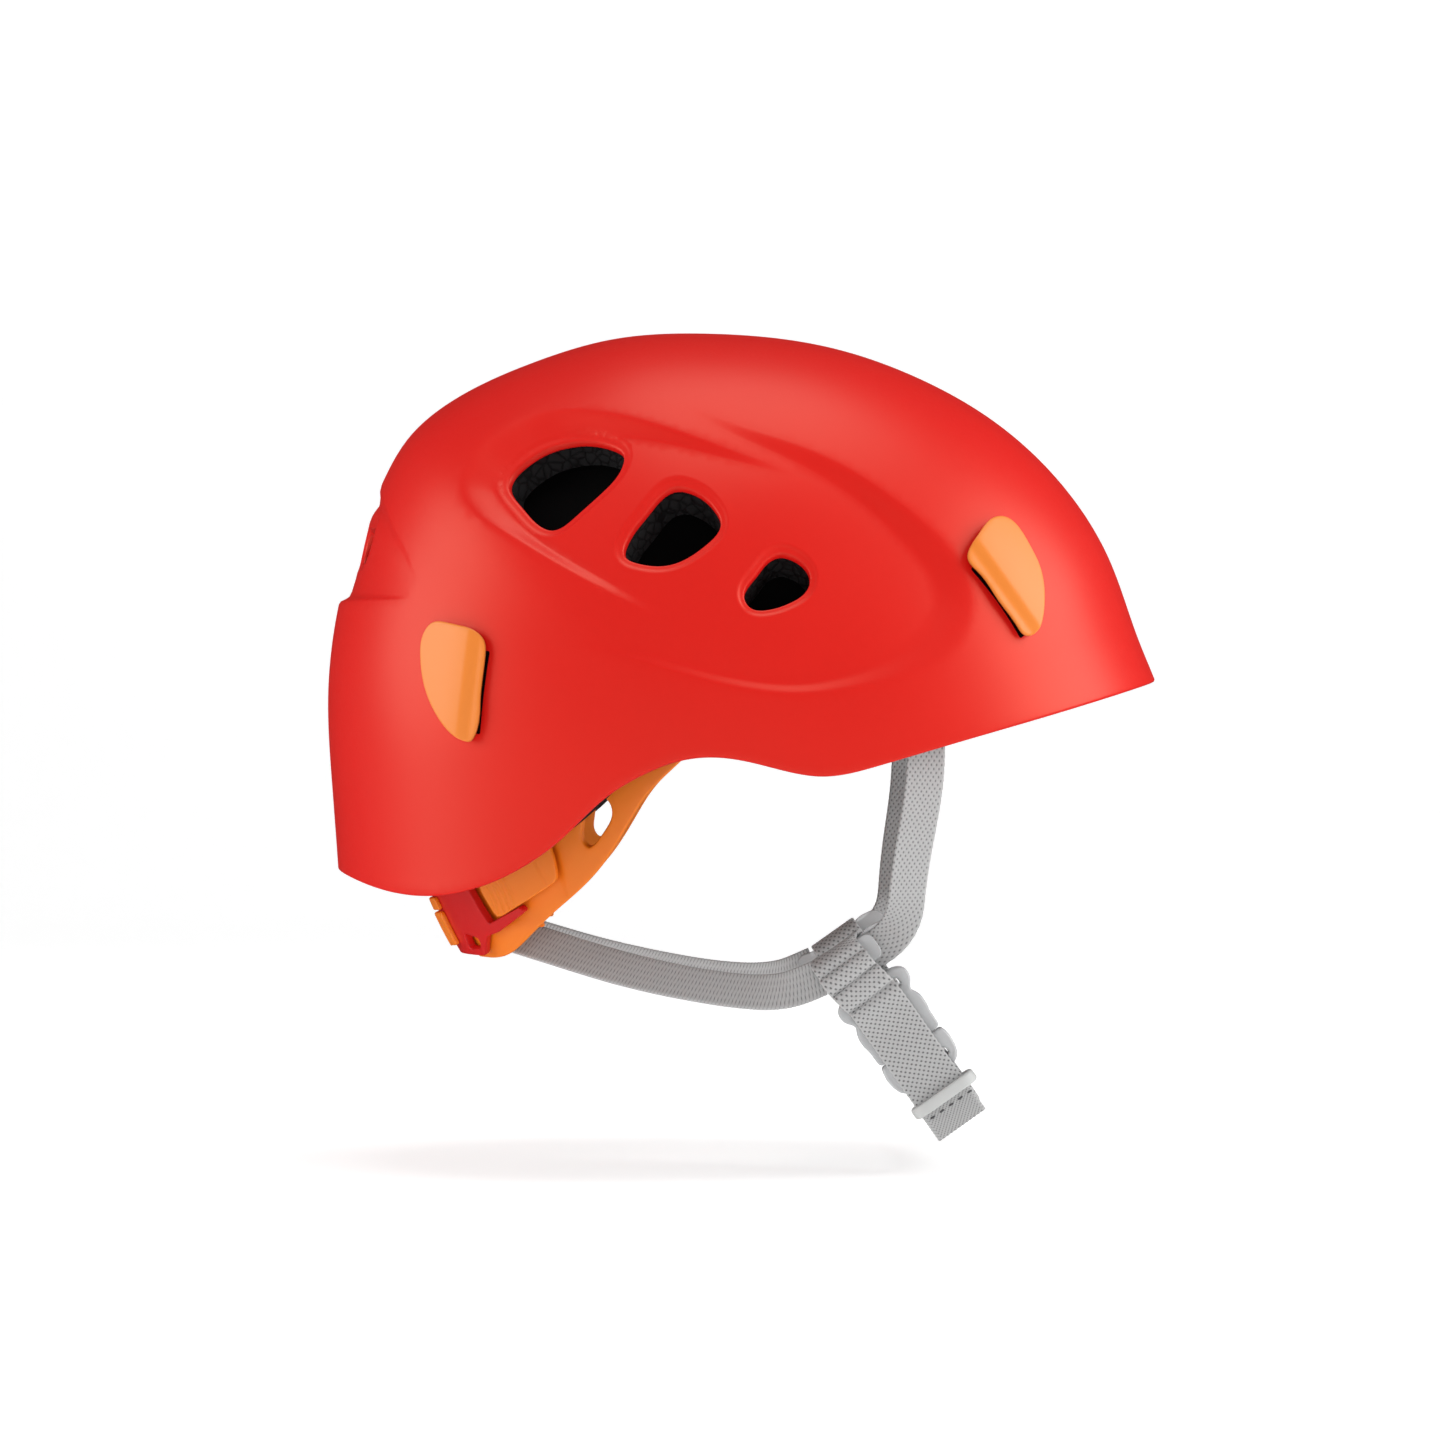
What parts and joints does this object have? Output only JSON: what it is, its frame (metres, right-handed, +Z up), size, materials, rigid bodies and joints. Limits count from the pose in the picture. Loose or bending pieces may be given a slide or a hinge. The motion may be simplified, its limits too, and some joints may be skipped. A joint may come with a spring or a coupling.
{
  "type": "climbing helmet",
  "caption": "Child-size climbing helmet: hard vented shell, foam liner, tilting headband with sliding nape adjuster, webbing chin harness with side-release buckle.",
  "frame": {"origin": "centre of the wearer's head, on the helmet's middle plane", "axes": "+X to the front of the helmet, +Y to the wearer's left, +Z up"},
  "size_m": [0.2501, 0.1994, 0.2402],
  "materials": {
    "shell": "satin",
    "liner": "moulded bead foam",
    "clip": "satin",
    "headband": "satin",
    "carriage": "satin",
    "pin": "matte",
    "pad": "brushed knit",
    "thin_webbing": "flat woven",
    "wide_webbing": "flat woven",
    "clear_grey": "translucent",
    "keeper": "matte"
  },
  "bodies": {
    "shell": {"outer_shell": "shell", "foam_liner": "liner", "headlamp_clip_rear_right": "clip", "headlamp_clip_rear_left": "clip", "headlamp_clip_front_right": "clip", "headlamp_clip_front_left": "clip", "pivot_pin_right": "pin", "pivot_pin_left": "pin", "strap_anchor_right": "pin", "strap_anchor_left": "pin", "crown_pad": "pad", "brow_pad": "pad", "side_pad_right": "pad", "side_pad_left": "pad", "front_strap_right": "thin_webbing", "front_strap_left": "thin_webbing", "rear_strap_right": "thin_webbing", "rear_strap_left": "thin_webbing"},
    "cradle": {"cradle_arm_right": "headband", "cradle_arm_left": "headband", "adjuster_strip": "headband"},
    "latch_right": {"latch_right": "headband"},
    "latch_left": {"latch_left": "headband"},
    "carriage": {"nape_carriage": "carriage", "nape_cover": "headband", "nape_pad": "pad"},
    "chin_upper": {"strap_guide_right": "clear_grey", "strap_guide_left": "clear_grey", "chin_loop_right": "wide_webbing", "chin_loop_left": "wide_webbing", "buckle_female": "clear_grey"},
    "chin_lower": {"buckle_male": "clear_grey", "chin_strap": "wide_webbing"},
    "keeper": {"keeper_ring": "keeper"}
  },
  "joints": [
    {"name": "cradle_swing", "type": "hinge", "parent": "shell", "child": "cradle", "pos_m": [0.0045, 0, 0.0086], "axis": [0, 1, 0], "range_deg": [-12, 3], "deforming": ["rear_strap_right", "rear_strap_left"]},
    {"name": "latch_right_press", "type": "hinge", "parent": "cradle", "child": "latch_right", "pos_m": [-0.057, -0.0598, -0.0406], "axis": [0.226, 0.153, -0.962], "range_deg": [0, 2.5], "stiffness_Nm_per_rad": 0.4},
    {"name": "latch_left_press", "type": "hinge", "parent": "cradle", "child": "latch_left", "pos_m": [-0.057, 0.0598, -0.0406], "axis": [-0.226, 0.153, 0.962], "range_deg": [0, 2.5], "stiffness_Nm_per_rad": 0.4},
    {"name": "nape_slide", "type": "slide", "parent": "cradle", "child": "carriage", "axis": [0.8829, 0, 0.4695], "range_m": [-0.009, 0], "deforming": ["adjuster_strip"]},
    {"name": "chin_swing", "type": "hinge", "parent": "shell", "child": "chin_upper", "pos_m": [0.0307, 0, -0.071], "axis": [0, 1, 0], "range_deg": [-25, 35], "deforming": ["chin_loop_right", "chin_loop_left", "front_strap_right", "front_strap_left"]},
    {"name": "buckle_release", "type": "slide", "parent": "chin_upper", "child": "chin_lower", "axis": [0.5765, 0, -0.8171], "range_m": [0, 0.016]},
    {"name": "keeper_slide", "type": "slide", "parent": "chin_lower", "child": "keeper", "axis": [0.5765, 0, -0.8171], "range_m": [-0.0035, 0.0005]}
  ]
}
